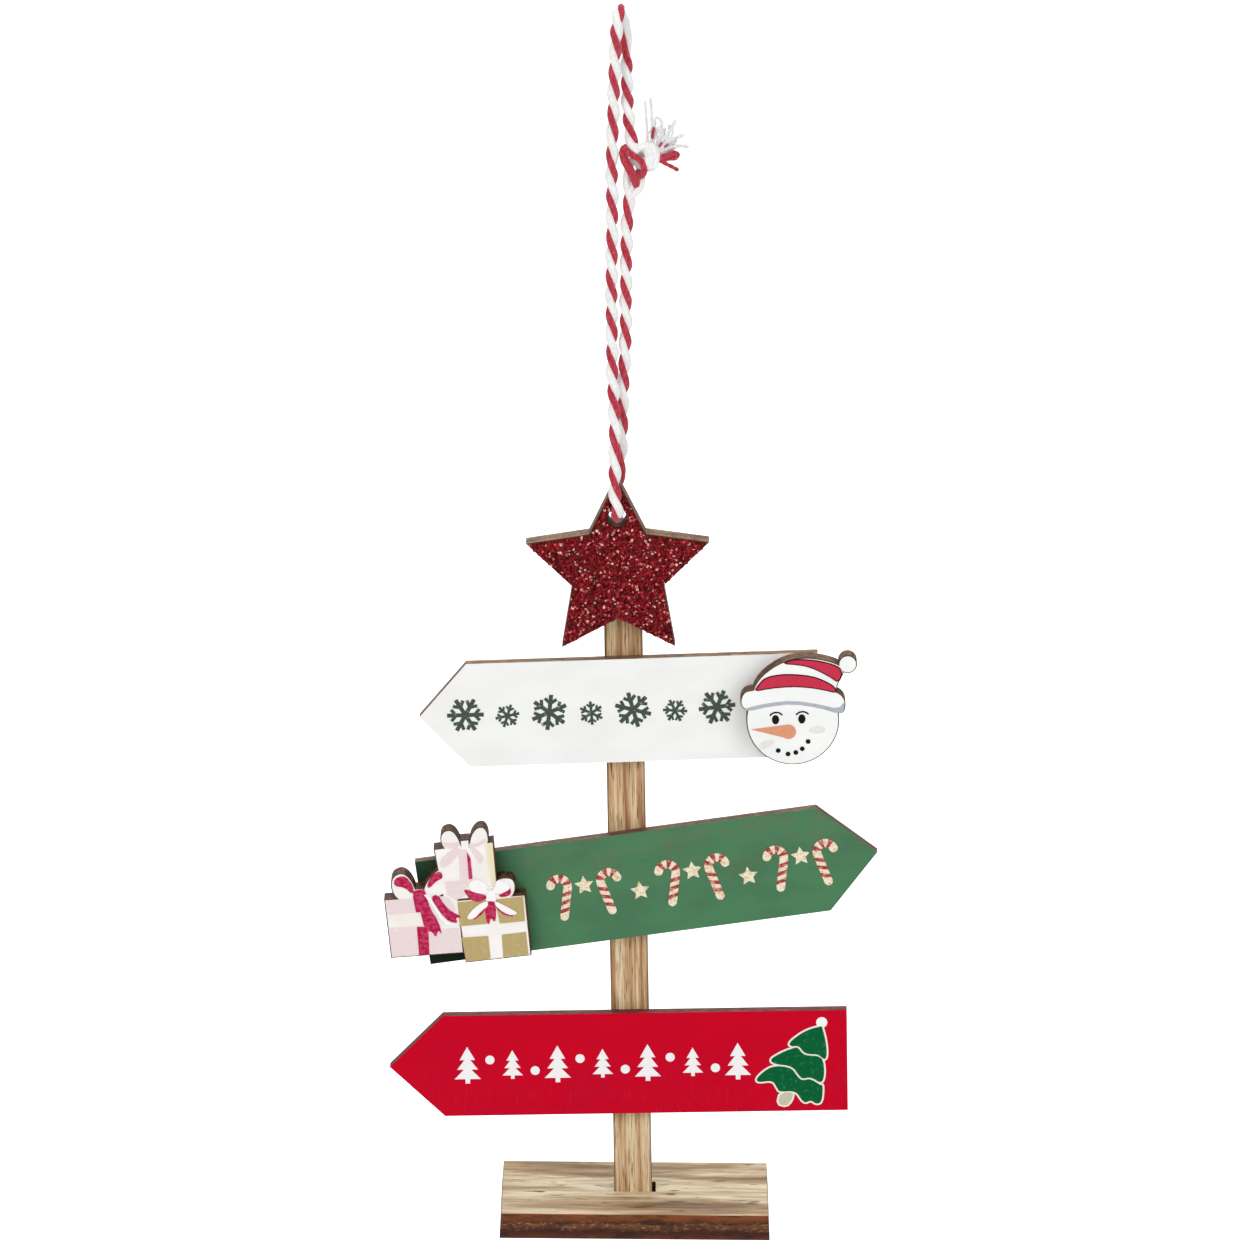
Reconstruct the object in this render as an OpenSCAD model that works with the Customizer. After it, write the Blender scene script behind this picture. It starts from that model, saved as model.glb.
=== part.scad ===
// Hanging Christmas tree ornament in the form of a little wooden signpost.
// A slotted base slab carries a flat post. A glitter star and three painted
// arrow boards are glued to the front of the post, and a loop of striped twine
// through the star's hole carries the whole ornament. The origin is the point
// under the top of the loop, where a hook or a twig touches it, +Z is up and the
// boards face -Y. All sizes are in millimetres.

/* [Base] */
// Width of the base slab at its underside
base_w = 36.4; // [30:0.2:60]
// Depth of the base slab at its underside, front to back
base_d = 22.2; // [16:0.2:40]
// Thickness of the base slab
base_t = 3.4; // [2.4:0.1:8]
// Slope of the cut sides of the slab, in degrees
edge_draft = 4; // [0:0.5:8]
// How far the post's slot sits behind the middle of the slab
slot_back = 0.7; // [-2:0.1:2]
// Free width in the slot beside the post
slot_gap = 0.45; // [0.2:0.05:1.5]
// Free depth in the slot behind the post
slot_play = 0.1; // [0.05:0.05:0.5]

/* [Post] */
// Width of the post, seen from the front
post_w = 5.1; // [3:0.1:10]
// Thickness of the post, front to back
post_t = 4.1; // [2.5:0.1:8]
// Height between the post's top and the star's hole
post_clear = 1.9; // [1.5:0.1:3]
// Lean of the post away from upright, to the left, in degrees
post_lean = 1.45; // [0:0.05:2.5]
// Gap between the foot of the post and the slab's underside
tenon_gap = 0.25; // [0.2:0.05:1]

/* [Star] */
// Distance from the star's middle to its five tips
star_r = 12.8; // [11:0.1:18]
// Distance from the star's middle to the five notches between the tips
star_waist = 6.4; // [5:0.1:9]
// Thickness of the star's plywood
star_t = 3.0; // [2:0.1:5]
// Thickness of the glitter card on the star's front
glitter_t = 0.3; // [0.1:0.05:0.8]
// Gap between the star's two lower tips and the white board
star_gap = 2.1; // [0.5:0.1:8]
// Sideways shift of the star from the middle of the post
star_side = -0.55; // [-1.5:0.05:1.5]
// Turn of the star against the post, in degrees
star_tilt = -0.4; // [-10:0.1:10]
// Diameter of the hole for the twine
hole_d = 2.45; // [2.3:0.05:4]
// Height of the hole above the star's middle
hole_rise = 7.5; // [6.5:0.1:8.5]

/* [Boards] */
// Thickness of the boards' plywood
board_t = 1.7; // [1:0.1:4]
// Thickness of a coat of paint
paint_t = 0.1; // [0.05:0.01:0.3]
// Height of the white board
white_w = 14.3; // [10:0.1:20]
// Height of the green board
green_w = 14.5; // [10:0.1:20]
// Height of the red board
red_w = 14.2; // [10:0.1:20]
// Length of the white board's point
white_point = 6.5; // [3:0.1:10]
// Length of the points of the green and the red board
point_len = 7.3; // [3:0.1:10]
// Reach of the white board to its tip, from the middle of the post
white_tip = 27.4; // [20:0.2:45]
// Reach of the white board to its square end
white_end = 26.0; // [22:0.2:40]
// Reach of the green board to its tip
green_tip = 33.8; // [20:0.2:45]
// Reach of the green board to its square end
green_end = 27.8; // [24:0.2:40]
// Reach of the red board to its tip
red_tip = 32.5; // [26:0.2:45]
// Reach of the red board to its square end
red_end = 29.2; // [27:0.2:40]
// Gap between the base and the red board
red_gap = 11.8; // [3:0.1:25]
// Gap between the red and the green board, at the post
green_gap = 10.75; // [6:0.05:25]
// Gap between the green and the white board, at the post
white_gap = 10.1; // [6:0.1:25]
// Turn of the white board against the post, in degrees
white_tilt = 1.0; // [-8:0.1:8]
// Turn of the green board against the post, in degrees
green_tilt = 7.1; // [-12:0.1:12]
// Turn of the red board against the post, in degrees
red_tilt = 0; // [-8:0.1:8]

/* [Plaques] */
// Thickness of the snowman's plywood
head_t = 2.5; // [1.5:0.1:4]
// Radius of the snowman's face
head_r = 6.2; // [5:0.1:8]
// Thickness of the plywood of the three gifts
gifts_t = 2.8; // [1.5:0.1:4]
// Width of the three gifts
gifts_w = 18.9; // [14:0.1:24]
// Distance of the snowman's middle from the white board's square end
head_inset = 3.5; // [2:0.1:8]
// Distance of the gifts' middle from the green board's square end
gifts_inset = 5.2; // [4:0.1:9]
// Turn of the gifts against the green board, in degrees
gifts_tilt = -2.6; // [-8:0.1:8]
// Width of the burnt rim left bare round the star's and the plaques' fronts
burn_rim = 0.15; // [0.05:0.05:0.5]

/* [Printing] */
// Thickness of one layer of printed colour
ink_t = 0.05; // [0.03:0.01:0.15]
// Width of the dark line round the hat's stripes
line_w = 0.16; // [0.08:0.02:0.4]
// Height of the large printed tree
tree_h = 12.7; // [9:0.1:13.5]
// Width of the cream line round the printed tree
tree_line = 0.25; // [0.15:0.05:0.6]
// Size of the large snowflakes in the white board's row
flake_size = 4.9; // [3:0.1:7]
// Height of the candy canes in the green board's row
cane_h = 5.8; // [4:0.1:8]
// Height of the little fir trees in the red board's row
fir_h = 5.2; // [3.5:0.1:7]
// Gap between a printed row and the picture at its end
row_gap = 0.7; // [0.4:0.05:1.5]

/* [Twine] */
// Diameter of the twine
twine_d = 1.8; // [1.2:0.1:1.8]

/* [Hidden] */

$fn = 48;

// Middle of the star's hole below the hanging point
hole_x = 0.2;
hole_z = -67.5;

// Heights of the boards, the star and the post's top above the base
red_h = red_gap + red_w / 2;
green_h = red_h + red_w / 2 + green_gap + green_w / 2;
white_h = green_h + green_w / 2 + white_gap + white_w / 2;
star_h = white_h + white_w / 2 + star_gap + star_r * cos(36);
post_h = star_h + hole_rise - hole_d / 2 - post_clear;

// The plane that the star and the boards share with the front of the post
front_y = star_t / 2;
white_y = front_y - board_t;
board_face_y = white_y - paint_t;
head_face_y = board_face_y - head_t - paint_t;
gifts_face_y = board_face_y - gifts_t - paint_t;

// The hole in the post's own frame, and the foot of the post worked out from it
hole_u = star_side - hole_rise * sin(star_tilt);
hole_v = star_h + hole_rise * cos(star_tilt);
foot_x = hole_x - hole_u * cos(post_lean) + hole_v * sin(post_lean);
foot_z = hole_z - hole_u * sin(post_lean) - hole_v * cos(post_lean);

// The post leans on the left edge of its slot and almost touches its front
lean_play = 0.03;
front_play = 0.02;
tenon = base_t - tenon_gap;
slot_w = post_w + slot_gap + tenon * tan(post_lean);
slot_d = post_t + slot_play;
slot_x = foot_x - post_w / 2 - lean_play + slot_w / 2;
base_y = front_y - front_play + slot_d / 2 - slot_back;

// Corner-cutting keeps a closed outline's run and rounds its corners
function cut(p) = [for (i = [0:len(p) - 1]) let (a = p[i], b = p[(i + 1) % len(p)])
    each [a * 0.75 + b * 0.25, a * 0.25 + b * 0.75]];
function soft(p, passes = 2) = passes == 0 ? p : soft(cut(p), passes - 1);
// Outlines run anticlockwise, so that those that overlap join into one
function sum(v, i = 0) = i == len(v) ? 0 : v[i] + sum(v, i + 1);
function turning(p) = sum([for (i = [0:len(p) - 1]) cross(p[i], p[(i + 1) % len(p)])]);
function wound(p) = turning(p) > 0 ? p : [for (i = [len(p) - 1:-1:0]) p[i]];
module patch(p) polygon(wound(p));
function oval(c, rx, rz, turn = 0, n = 20) = [for (i = [0:n - 1]) let (a = 360 * i / n)
    c + [rx * cos(a) * cos(turn) - rz * sin(a) * sin(turn),
         rx * cos(a) * sin(turn) + rz * sin(a) * cos(turn)]];
function arc(c, r, from, to, n = 10) = [for (i = [0:n]) let (a = from + (to - from) * i / n)
    c + r * [cos(a), sin(a)]];
// A line of even width drawn along an arc
function arc_line(c, r, from, to, w) =
    concat(arc(c, r + w / 2, from, to), arc(c, r - w / 2, to, from));

// The post's frame: origin at its foot, x across it and y up it, in the plane y
module on_post(y) translate([foot_x, y, foot_z]) rotate([0, -post_lean, 0])
    rotate([90, 0, 0]) children();
// A sheet of the outline below, from the plane y towards the front
module sheet(y, t) on_post(y) linear_extrude(t) children();

module arrow(tip, end, w, point) patch([[-tip, 0], [point - tip, w / 2], [end, w / 2],
    [end, -w / 2], [point - tip, -w / 2]]);
module star_outline(r, waist) patch([for (i = [0:9])
    (i % 2 == 0 ? r : waist) * [cos(90 + 36 * i), sin(90 + 36 * i)]]);

// Places on the post
module star_place() translate([star_side, star_h]) rotate(star_tilt) children();
module white_place() translate([0, white_h]) rotate(white_tilt) children();
module green_place() translate([0, green_h]) rotate(green_tilt) children();
module red_place() translate([0, red_h]) rotate(red_tilt) children();
// Corners and edges of the pictures, in each picture's own drawing
face_middle = [-0.1, -0.4];
face_edge = [6.1, -0.4];
brim_edge = [-7, 2];
gift_left = [[-9.9, 1], [-9.8, -7.3], [0, -7.5], [0, 0.8]];
gift_top = [[-2.6, 7.4], [5.5, 7.7], [5.4, 0], [-2, 0]];
gift_right = [[-0.3, 0], [9, -0.1], [9, -8.7], [0.1, -8.9]];
tree_top = [0, 6.2];
tree_foot = [-1.3, -6.5];
tree_edge = [-8.9, -2.7];
head_scale = head_r / (face_edge - face_middle).x;
gifts_scale = gifts_w / (gift_right[1] - gift_left[0]).x;
tree_scale = tree_h / (tree_top - tree_foot).y;
head_drop = 0.9;
gifts_rise = 2.1;
tree_inset = 3.4;
module head_place() white_place() translate([white_end - head_inset, -head_drop])
    rotate(-white_tilt) scale(head_scale) children();
module gifts_place() green_place() translate([gifts_inset - green_end, gifts_rise])
    rotate(gifts_tilt) scale(gifts_scale) children();

module slab_profile(w) {
    run = base_t * tan(edge_draft);
    patch([[-w / 2, 0], [w / 2, 0], [w / 2 - run, base_t], [run - w / 2, base_t]]);
}
module base() color("burlywood") difference() {
    translate([slot_x, base_y, foot_z - base_t]) intersection() {
        rotate([90, 0, 0]) linear_extrude(base_d, center = true) slab_profile(base_w);
        rotate([90, 0, 90]) linear_extrude(base_w, center = true) slab_profile(base_d);
    }
    translate([slot_x - slot_w / 2, front_y - front_play, foot_z - base_t - 1])
        cube([slot_w, slot_d, base_t + 2]);
}

module post() color("tan") sheet(front_y + post_t, post_t)
    translate([-post_w / 2, -tenon]) square([post_w, post_h + tenon]);

module star_face() star_place() difference() {
    star_outline(star_r, star_waist);
    translate([0, hole_rise]) circle(d = hole_d);
}
module star() color("saddlebrown") sheet(front_y, star_t) star_face();
module star_glitter() color("firebrick") sheet(front_y - star_t, glitter_t)
    offset(delta = -burn_rim) star_face();

// White board with its row of snowflakes
module white_outline() white_place() arrow(white_tip, white_end, white_w, white_point);
module white_board() color("peru") sheet(front_y, board_t) white_outline();
module white_paint() color("whitesmoke") sheet(white_y, paint_t) white_outline();

module flake(size) {
    arm = size / 2;
    rib = size * 0.055;
    for (a = [0:60:300]) rotate(a) {
        translate([0, -rib]) square([arm, 2 * rib]);
        for (s = [-1, 1]) translate([arm * 0.5, 0]) rotate(s * 50)
            translate([0, -rib * 0.8]) square([arm * 0.42, 1.6 * rib]);
    }
    circle(r = size * 0.12, $fn = 6);
}
flake_count = 7;
flake_first = white_point - white_tip - row_gap / 2;
flake_last = white_end - head_inset + brim_edge.x * head_scale - row_gap - flake_size / 2;
flake_pitch = (flake_last - flake_first) / (flake_count - 1);
module snowflake_print() color("darkslategray") sheet(board_face_y, ink_t) white_place()
    for (i = [0:flake_count - 1]) translate([flake_first + i * flake_pitch, i % 2 == 0 ? 0.1 : -0.2])
        rotate(i * 11) flake(i % 2 == 0 ? flake_size : flake_size * 0.66);

// Green board with its row of candy canes and small stars
module green_outline() green_place() mirror([1, 0])
    arrow(green_tip, green_end, green_w, point_len);
module green_board() color("peru") sheet(front_y, board_t) green_outline();
module green_paint() color("seagreen") sheet(white_y, paint_t) green_outline();

module cane(h) {
    bar = h * 0.2;
    hook = h * 0.2;
    translate([hook - bar / 2, -h / 2]) square([bar, h - hook - bar / 2]);
    translate([0, h / 2 - hook - bar / 2]) {
        patch(arc_line([0, 0], hook, 0, 180, bar));
        translate([-hook, 0]) circle(d = bar, $fn = 24);
    }
    translate([hook, -h / 2]) circle(d = bar, $fn = 24);
}
// Slanted stripes across a cane's stem and bands round its hook
module cane_stripes(h) {
    bar = h * 0.2;
    hook = h * 0.2;
    rise = bar / 2;
    stripe = bar * 0.45;
    for (j = [0:2]) translate([hook - bar / 2, h * (0.2 * j - 0.44)])
        patch([[0, 0], [bar, rise], [bar, rise + stripe], [0, stripe]]);
    translate([0, h / 2 - hook - bar / 2]) for (a = [25, 75, 125])
        patch(arc_line([0, 0], hook, a, a + 24, bar));
}
cane_count = 6;
cane_first = gifts_inset - green_end + gift_right[1].x * gifts_scale + row_gap + cane_h * 0.6;
cane_last = green_tip - point_len + row_gap;
cane_pitch = (cane_last - cane_first) / (cane_count - 1);
star_mark = 1.35;
cane_lean = 14;
module cane_place(i) translate([cane_first + i * cane_pitch, 0])
    rotate(i % 2 == 0 ? -cane_lean : cane_lean) mirror([i % 2, 0]) children();
module candy_print() color("wheat") sheet(board_face_y, ink_t) green_place() {
    for (i = [0:cane_count - 1]) cane_place(i) cane(cane_h);
    for (i = [0:cane_count - 2]) translate([cane_first + (i + 0.5) * cane_pitch, i % 2 == 0 ? 0.9 : -0.9])
        star_outline(star_mark, star_mark * 0.5);
}
module candy_stripes() color("firebrick") sheet(board_face_y - ink_t, ink_t) green_place()
    for (i = [0:cane_count - 1]) cane_place(i) cane_stripes(cane_h);

// Red board with its row of little firs and the large printed tree
module red_outline() red_place() arrow(red_tip, red_end, red_w, point_len);
module red_board() color("peru") sheet(front_y, board_t) red_outline();
module red_paint() color("crimson") sheet(white_y, paint_t) red_outline();

// Half the width of a fir's lowest tier, as a share of its height
fir_half = 0.34;
module fir(h) {
    for (i = [0:2]) let (half = h * (fir_half - 0.07 * (2 - i))) translate([0, h * (0.5 - 0.26 * i)])
        patch([[0, 0], [half, -h * 0.36], [-half, -h * 0.36]]);
    translate([-h * 0.06, -h / 2]) square([h * 0.12, h * 0.2]);
}
fir_count = 7;
fir_spread = fir_half * fir_h;
fir_first = point_len - red_tip + 2 * row_gap + fir_spread;
fir_last = red_end - tree_inset + tree_edge.x * tree_scale - row_gap - fir_spread;
fir_pitch = (fir_last - fir_first) / (fir_count - 1);
bauble_r = 0.62;
module fir_print() color("white") sheet(board_face_y, ink_t) red_place()
    for (i = [0:fir_count - 1]) translate([fir_first + i * fir_pitch, 0.1]) {
        fir(i % 2 == 0 ? fir_h : fir_h * 0.78);
        if (i < fir_count - 1) translate([fir_pitch / 2, i % 2 == 0 ? 0.7 : -0.9])
            circle(r = bauble_r, $fn = 24);
    }

// The printed tree hangs its three tiers to the left, under a bobble
module tree_place() red_place() translate([red_end - tree_inset, 0]) scale(tree_scale) children();
tier_top = soft([[0, 5], [-1.7, 4.6], [-3.2, 3.8], [-4.7, 2.5], [-4.1, 1.9], [-3.2, 2.1],
    [-2.5, 1], [-1.4, 0.8], [-0.6, 0.8], [0.4, -0.1], [0.8, 0.8], [0.6, 3], [0.1, 5]]);
tier_mid = soft([[-4.1, 1.9], [-5.8, 1.2], [-7.2, 0.3], [-6.6, -0.5], [-4.1, -0.8], [-3.3, -2.1],
    [-2.7, -2.7], [-1.6, -2.4], [-0.2, -3.4], [0.4, -2.4], [0.3, 0.2], [-0.6, 0.8],
    [-1.4, 0.8], [-2.5, 1], [-3.2, 2.1]]);
tier_low = soft([[-6.6, -0.5], [-8.1, -1.4], [-9.1, -2.5], [-8.7, -3.1], [-6.8, -2.8], [-6.3, -3.7],
    [-5.9, -4.5], [-3.7, -4.3], [-2.9, -5.7], [-2.3, -6.1], [-1.6, -5.7], [-0.9, -6.3],
    [0, -6], [0.2, -3.4], [-0.2, -3.4], [-1.6, -2.4], [-2.7, -2.7], [-3.3, -2.1], [-4.1, -0.8]]);
trunk_shape = soft([[-5.8, -4.4], [-3.8, -4.3], [-4.1, -5.7], [-4.9, -6.5], [-6.2, -6.1]], 1);
bobble_r = 0.75;
module tree_outline() color("antiquewhite") sheet(board_face_y, ink_t) tree_place() {
    for (tier = [tier_top, tier_mid, tier_low, trunk_shape]) offset(delta = tree_line / 2) patch(tier);
    translate([0, 5.4]) circle(r = bobble_r);
}
module tree_green() color("darkgreen") sheet(board_face_y - ink_t, ink_t) tree_place()
    for (tier = [tier_top, tier_mid, tier_low]) offset(delta = -tree_line / 2) patch(tier);
module tree_trunk() color("lightgray") sheet(board_face_y - ink_t, ink_t) tree_place()
    offset(delta = -tree_line / 2) patch(trunk_shape);

// Snowman's head, drawn round the middle of its face
brim = soft([[-6.3, 0.9], [-7.2, 1.9], [-6.7, 3.6], [-5.3, 3.9], [-2.6, 4.3], [0.4, 4.5], [3.2, 4.2],
    [5.9, 3.5], [7, 2.4], [6.9, 0.6], [6, 0.3], [3.4, 1.3], [0, 1.9], [-3.2, 1.6]]);
hat = soft([[-5.6, 3.2], [-4.9, 5], [-3.3, 6.6], [-1.2, 7.8], [1.2, 8.3], [4, 8], [6.3, 7.2],
    [6.9, 6.3], [6.4, 5.2], [5.9, 4.4], [5.8, 3], [0, 4]]);
bobble = [7.3, 7.2];
bobble_size = 1.25;
module head_outline() {
    translate(face_middle) circle(r = (face_edge - face_middle).x, $fn = 72);
    patch(brim);
    patch(hat);
    translate(bobble) circle(r = bobble_size);
}
module snowman() color("peru") sheet(board_face_y, head_t) head_place() head_outline();
module snowman_paint() color("white") sheet(board_face_y - head_t, paint_t) head_place()
    offset(delta = -burn_rim) head_outline();

stripe_low = soft([[-5.3, 3.6], [-4.6, 4.7], [-3.7, 5.6], [-1.8, 6], [0.2, 6], [2.5, 5.7], [4.1, 5.1],
    [5.7, 4.1], [5.8, 3.2], [4, 3.7], [1.7, 4.1], [-0.5, 4.2], [-3.1, 4]], 1);
stripe_top = soft([[-1.4, 7.4], [-0.6, 7.9], [0.7, 8.1], [3, 7.9], [5.1, 7.4], [6.3, 6.8], [6.6, 6.1],
    [6.4, 5.3], [5.9, 4.7], [5, 5.4], [3.6, 6.2], [2.4, 6.8], [0.8, 7.2]], 1);
module hat_lines() color("maroon") sheet(head_face_y, ink_t) head_place()
    for (s = [stripe_low, stripe_top]) patch(s);
module hat_stripes() color("crimson") sheet(head_face_y - ink_t, ink_t) head_place()
    for (s = [stripe_low, stripe_top]) offset(delta = -line_w) patch(s);
module brim_shadow() color("lightsteelblue") sheet(head_face_y, ink_t) head_place()
    patch(soft([[-6.1, 0.9], [-3.2, 1.55], [0, 1.85], [3.4, 1.25], [6.1, 0.35], [6.8, 0.8],
        [6.8, 2.1], [6, 1], [3.4, 1.75], [0, 2.3], [-3.2, 2.05], [-6.6, 1.3]], 1));
nose_r = 1.0;
nose_tip = [-5.7, -1.6];
nose_end = [-0.7, -2];
module carrot_nose() color("sandybrown") sheet(head_face_y, ink_t) head_place() {
    translate(nose_end) circle(r = nose_r);
    patch([nose_tip, nose_end + nose_r * [-0.15, 0.98], nose_end + nose_r * [0.05, -0.99]]);
}
eyes = [[-2.4, -0.3], [1.1, -0.25]];
mouth = [[-2.1, -4.6], [-0.8, -5.1], [0.25, -4.9], [1.1, -4.4], [1.9, -3.4]];
coal_r = 0.32;
module coal_marks() color("black") sheet(head_face_y, ink_t) head_place() {
    for (e = eyes) {
        patch(oval(e, 0.48, 0.64));
        patch(arc_line(e + [0.1, -0.05], 1.05, 40, 145, 0.2));
    }
    for (m = mouth) translate(m) circle(r = coal_r, $fn = 20);
}
module cheek_blush() color("mistyrose") sheet(head_face_y, ink_t) head_place() {
    patch(oval([3.1, -1.8], 1.1, 0.5));
    patch(oval([-3.7, -3.7], 1.1, 0.5, 25));
}

// Three wrapped gifts, drawn round the corner where the boxes meet
bow_left_a = soft([[-8.2, 0.6], [-8.9, 2.4], [-8.6, 4], [-7.3, 4.6], [-6.2, 3.9], [-5.5, 2.2], [-5.4, 0.6]]);
bow_left_b = soft([[-4.8, 0.6], [-4.5, 2.1], [-3.7, 3.4], [-2.3, 4.6], [-1.5, 4.2], [-1.1, 2.6], [-1.8, 0.6]]);
bow_top_a = soft([[-1.2, 6.9], [-1.7, 8.7], [-1.1, 9.8], [0.1, 9.9], [0.9, 8.8], [1.3, 6.9]]);
bow_top_b = soft([[2.1, 6.9], [2.4, 8.7], [3.4, 9.9], [4.5, 9.9], [5, 8.6], [4.7, 6.9]]);
bow_right_b = soft([[4.6, -0.6], [5.1, 2.3], [6.4, 2.6], [7.7, 2.3], [7.9, 0.8], [7.1, -0.6]]);
module gifts_outline() {
    for (shape = [gift_left, gift_top, gift_right, bow_left_a, bow_left_b, bow_top_a, bow_top_b,
        bow_right_b]) patch(shape);
    translate([-5.8, 0.5]) square([1.6, 1.6]);
    translate([1, 7]) square([1.3, 1.3]);
}
module gifts() color("saddlebrown") sheet(board_face_y, gifts_t) gifts_place() gifts_outline();
module gifts_paint() color("white") sheet(board_face_y - gifts_t, paint_t) gifts_place()
    offset(delta = -burn_rim) gifts_outline();

// Wrapping paper in the lowest layer, red ribbons over it and white ones on top
module gift_wrap_pink() color("pink") sheet(gifts_face_y, ink_t) gifts_place() {
    patch([[-9.6, 0.8], [-6.1, 0.8], [-5.8, -1.2], [-9.6, -1.2]]);
    patch([[-9.6, -3], [-5.9, -3.2], [-6, -7.1], [-9.6, -7.1]]);
    patch([[-4.5, -3.8], [-0.3, -3.9], [-0.2, -7.3], [-4.6, -7.2]]);
    patch([[0.7, 7.1], [1.8, 6.9], [1.8, 2.7], [0.5, 2.7]]);
    patch([[-1.6, 2.7], [2.1, 2.7], [1.1, 1.6], [1.3, 0.7], [-0.2, 0], [-1.4, 0.9]]);
    patch(soft([[0.8, 7.5], [-0.6, 6.9], [-2, 5.7], [-1.7, 4.6], [-0.7, 5], [0.7, 6.3]], 1));
    patch(soft([[2.2, 7.2], [2.7, 6], [3.4, 4.5], [4.1, 5.5], [3.3, 6.7], [2.5, 7.4]], 1));
    patch(soft([[-1.3, 8.3], [-0.4, 8], [0.9, 8.2], [1, 7.4], [-0.2, 7.2], [-1.2, 7.5]], 1));
    patch(soft([[2.2, 7.8], [3.2, 7.6], [4.5, 8.3], [4.6, 7.7], [3.4, 7.2], [2.2, 7.2]], 1));
    patch(soft([[-2.6, 0.7], [-1.3, 0.6], [-0.5, -1], [-0.6, -1.7], [-1.6, -1]], 1));
}
module gift_wrap_tan() color("darkkhaki") sheet(gifts_face_y, ink_t) gifts_place() {
    patch([[-0.1, -0.3], [3.8, -0.3], [3.5, -3.7], [-0.2, -3.7]]);
    patch([[4.9, -0.4], [8.7, -0.3], [8.6, -3.8], [5.2, -3.8]]);
    patch([[-0.1, -5.3], [3.5, -5.4], [3.5, -8.7], [0.2, -8.7]]);
    patch([[5.3, -5.4], [8.6, -5.3], [8.6, -8.5], [5.2, -8.6]]);
}
module gift_ribbon_red() color("crimson") sheet(gifts_face_y - ink_t, ink_t) gifts_place() {
    patch(soft([[-8.4, 2.8], [-8.2, 3.8], [-7, 4.1], [-6.3, 3.5], [-5.7, 2.1], [-6.1, 1.4], [-6.9, 2.4]], 1));
    patch(soft([[-4, 2.3], [-3.5, 3.4], [-2.7, 4.1], [-1.9, 4.2], [-1.7, 3.3], [-2.7, 2.9], [-3.7, 2]], 1));
    patch([[-6, 1.8], [-4.4, 2], [-4.2, 1.1], [-5.9, 0.9]]);
    patch([[-6, 1.1], [-5.3, 1.1], [-5.1, -1.2], [-5.8, -1.2]]);
    patch(soft([[-5.5, 1.1], [-4.2, 1.1], [-3.9, -0.8], [-3, -2.6], [-2.6, -4.7], [-3.1, -3.9], [-3.5, -5],
        [-4, -4], [-4.8, -4], [-5.1, -2.1]], 1));
    patch(soft([[-3.6, 0.8], [-2.7, 1.1], [-1.8, -0.7], [-1.1, -1.5], [0.4, -2.5], [-0.7, -2.4], [-0.3, -3.2],
        [-1.5, -2.9], [-2.3, -1.9], [-3.1, -0.6]], 1));
    patch([[-5.9, -3.2], [-4.4, -3.4], [-4.6, -7.2], [-6, -7.2]]);
    patch([[1.8, 6.6], [2.2, 5.7], [2.2, 2.8], [1.7, 2.8]]);
    patch(soft([[0.8, 1.5], [1.9, 1.1], [3, 0.7], [3.9, 0.1], [3, -0.6], [1.9, -0.3], [1.2, 0.5]], 1));
    patch(soft([[5.3, 0.1], [6.3, 0.5], [7, 1.5], [7.2, 0.1], [6, -0.2]], 1));
    patch(soft([[3.5, -0.6], [4.9, -0.6], [4.9, -2.1], [4.6, -3.7], [4.1, -2.8], [3.7, -4], [3.4, -2.9]], 1));
    patch([[1.7, -2.8], [3, -1.9], [3.7, -1.2], [3.7, -1.5], [2.9, -2.3], [1.8, -3]]);
    patch([[5, -1.2], [5.9, -2.3], [7.1, -2.8], [7, -3], [5.8, -2.6], [5, -1.7]]);
}
bow_mark = [[4, 1.3], [4.9, 1.3], [4.8, 0.9], [4, 1]];
module gift_ribbon_white() color("snow") sheet(gifts_face_y - 2 * ink_t, ink_t) gifts_place() {
    patch([[-4.5, 1.2], [-3.9, 1.2], [-3, -0.7], [-2.3, -2.1], [-1.5, -3], [-0.5, -3.3], [-0.6, -3.6],
        [-1.9, -3.4], [-2.7, -2.3], [-3.4, -0.8]]);
    difference() {
        union() {
            patch(soft([[1.6, 2.4], [2.9, 2.7], [4.2, 1.8], [4, 0.4], [2.8, 0.7], [1.6, 1.2]], 1));
            patch(soft([[5, 1.1], [5.3, 2.4], [6.6, 2], [7.2, 1.2], [6.6, 0.6], [5, 0.3]], 1));
            patch([[4, 1.5], [5.1, 1.4], [5, -0.6], [3.7, -0.5]]);
        }
        patch(bow_mark);
    }
    patch(soft([[3.9, -0.4], [2.6, -0.9], [1.4, -1.8], [0.8, -2.8], [1.9, -2.8], [3, -1.7], [3.9, -1.2]], 1));
    patch(soft([[4.8, -0.5], [6.2, -1.4], [7.9, -2.6], [6.9, -2.8], [5.9, -2.3], [4.9, -1.3]], 1));
}

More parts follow.
